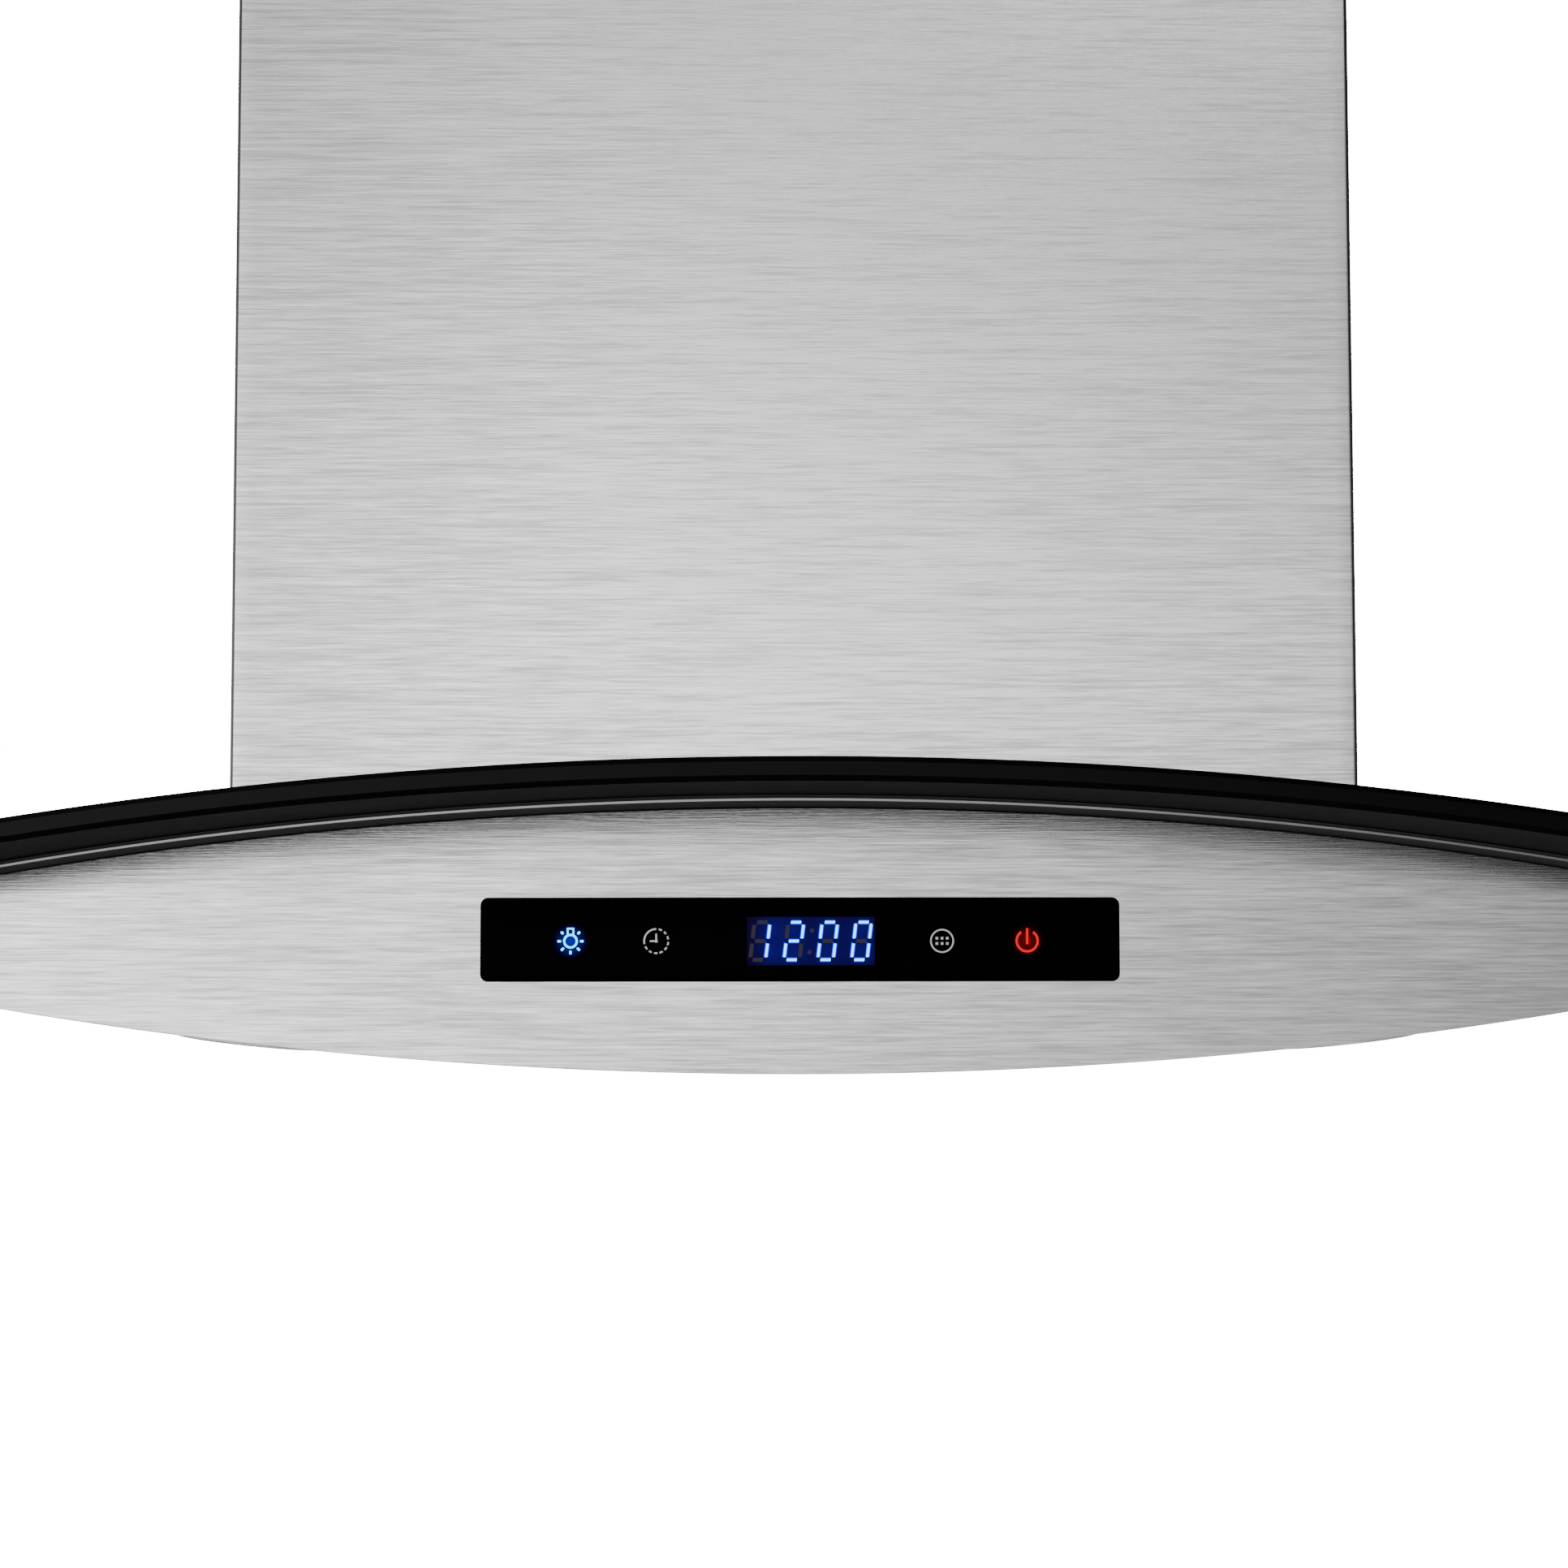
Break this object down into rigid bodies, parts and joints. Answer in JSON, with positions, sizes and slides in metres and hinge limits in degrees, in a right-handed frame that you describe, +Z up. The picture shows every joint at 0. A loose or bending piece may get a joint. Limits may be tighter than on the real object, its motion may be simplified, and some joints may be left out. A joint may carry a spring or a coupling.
{
  "type": "island range hood",
  "caption": "Island range hood: arched black glass canopy over a lens-shaped steel body with touch controls, drop-down grease filters, blower and a telescopic flue cover.",
  "frame": {"origin": "middle of the ceiling plate's top face, on the ceiling", "axes": "+Z up, out of the ceiling plate into the ceiling; X along the canopy's width; the controls face -Y"},
  "size_m": [0.9, 0.6, 0.9599],
  "materials": {
    "brushed_steel": "horizontal brushed stainless steel, satin",
    "black_glass": "black tempered glass, polished, with a ground bevel",
    "touch_glass": "gloss black printed glass",
    "display": "dark blue display window",
    "seal_rubber": "matt black rubber",
    "zinc_sheet": "zinc-coated steel sheet",
    "zinc_fasteners": "bright zinc plating",
    "motor_paint": "dark grey enamel",
    "bright_steel": "ground steel",
    "black_plastic": "fine-textured black plastic",
    "circuit_board": "green solder mask",
    "filter_aluminium": "satin anodised aluminium",
    "lamp_bezel": "satin aluminium ring",
    "lamp_lens": "frosted white diffuser"
  },
  "bodies": {
    "ceiling": {"ceiling_plate": "zinc_sheet", "upper_flue_cover_front": "brushed_steel", "upper_flue_cover_rear": "brushed_steel", "upper_post_front_left": "zinc_sheet", "upper_post_rear_left": "zinc_sheet", "upper_post_front_right": "zinc_sheet", "upper_post_rear_right": "zinc_sheet"},
    "hood": {"belly_pan": "brushed_steel", "blower_box": "zinc_sheet", "cable_gland": "black_plastic", "canopy_glass": "black_glass", "chassis": "zinc_sheet", "control_board": "circuit_board", "control_glass": "touch_glass", "control_housing": "black_plastic", "damper_pin": "bright_steel", "display_module": "display", "end_cap_left": "brushed_steel", "end_cap_right": "brushed_steel", "fascia_front": "brushed_steel", "fascia_rear": "brushed_steel", "glass_screw_front_left": "zinc_fasteners", "glass_screw_front_right": "zinc_fasteners", "glass_screw_rear_left": "zinc_fasteners", "glass_screw_rear_right": "zinc_fasteners", "height_bolt_front_left": "zinc_fasteners", "height_bolt_front_right": "zinc_fasteners", "height_bolt_rear_left": "zinc_fasteners", "height_bolt_rear_right": "zinc_fasteners", "lamp_housing_front_left": "lamp_bezel", "lamp_housing_front_right": "lamp_bezel", "lamp_housing_rear_left": "lamp_bezel", "lamp_housing_rear_right": "lamp_bezel", "lamp_lens_front_left": "lamp_lens", "lamp_lens_front_right": "lamp_lens", "lamp_lens_rear_left": "lamp_lens", "lamp_lens_rear_right": "lamp_lens", "lower_post_front_left": "zinc_sheet", "lower_post_front_right": "zinc_sheet", "lower_post_rear_left": "zinc_sheet", "lower_post_rear_right": "zinc_sheet", "motor": "motor_paint", "motor_bracket": "zinc_sheet", "outlet_collar": "black_plastic", "power_box": "black_plastic", "scroll_housing": "zinc_sheet", "seal_front": "seal_rubber", "seal_rear": "seal_rubber"},
    "lower_cover": {"lower_flue_cover_front": "brushed_steel", "lower_flue_cover_rear": "brushed_steel"},
    "fan_wheel": {"impeller": "black_plastic", "motor_shaft": "bright_steel"},
    "left_flap": {"damper_flap_left": "black_plastic"},
    "right_flap": {"damper_flap_right": "black_plastic"},
    "left_filter": {"filter_frame_left": "filter_aluminium", "filter_baffles_left": "filter_aluminium"},
    "right_filter": {"filter_frame_right": "filter_aluminium", "filter_baffles_right": "filter_aluminium"},
    "left_latch": {"filter_latch_left": "black_plastic"},
    "right_latch": {"filter_latch_right": "black_plastic"}
  },
  "joints": [
    {"name": "height_slide", "type": "slide", "parent": "ceiling", "child": "hood", "axis": [0, 0, 1], "range_m": [-0.08, 0.08]},
    {"name": "cover_lift", "type": "slide", "parent": "hood", "child": "lower_cover", "axis": [0, 0, 1], "range_m": [0, 0.2]},
    {"name": "fan_spin", "type": "hinge", "parent": "hood", "child": "fan_wheel", "pos_m": [0, 0.022, -0.79004], "axis": [1, 0, 0], "continuous": true},
    {"name": "left_flap_hinge", "type": "hinge", "parent": "hood", "child": "left_flap", "pos_m": [-0.0025, 0, -0.62839], "axis": [0, 1, 0], "range_deg": [0, 80]},
    {"name": "right_flap_hinge", "type": "hinge", "parent": "hood", "child": "right_flap", "pos_m": [0.0025, 0, -0.62839], "axis": [0, -1, 0], "range_deg": [0, 80]},
    {"name": "left_filter_hinge", "type": "hinge", "parent": "hood", "child": "left_filter", "pos_m": [-0.25389, 0, -0.9277], "axis": [0, 1, 0], "range_deg": [0, 60]},
    {"name": "right_filter_hinge", "type": "hinge", "parent": "hood", "child": "right_filter", "pos_m": [0.25389, 0, -0.9277], "axis": [0, -1, 0], "range_deg": [0, 60]},
    {"name": "left_latch_slide", "type": "slide", "parent": "left_filter", "child": "left_latch", "axis": [-0.9945, 0, 0.1049], "range_m": [0, 0.004], "stiffness_N_per_m": 400, "springref_m": -0.001},
    {"name": "right_latch_slide", "type": "slide", "parent": "right_filter", "child": "right_latch", "axis": [0.9945, 0, 0.1049], "range_m": [0, 0.004], "stiffness_N_per_m": 400, "springref_m": -0.001}
  ],
  "couplings": [
    {"joint": "right_flap_hinge", "follows": "left_flap_hinge", "ratio": 1}
  ]
}
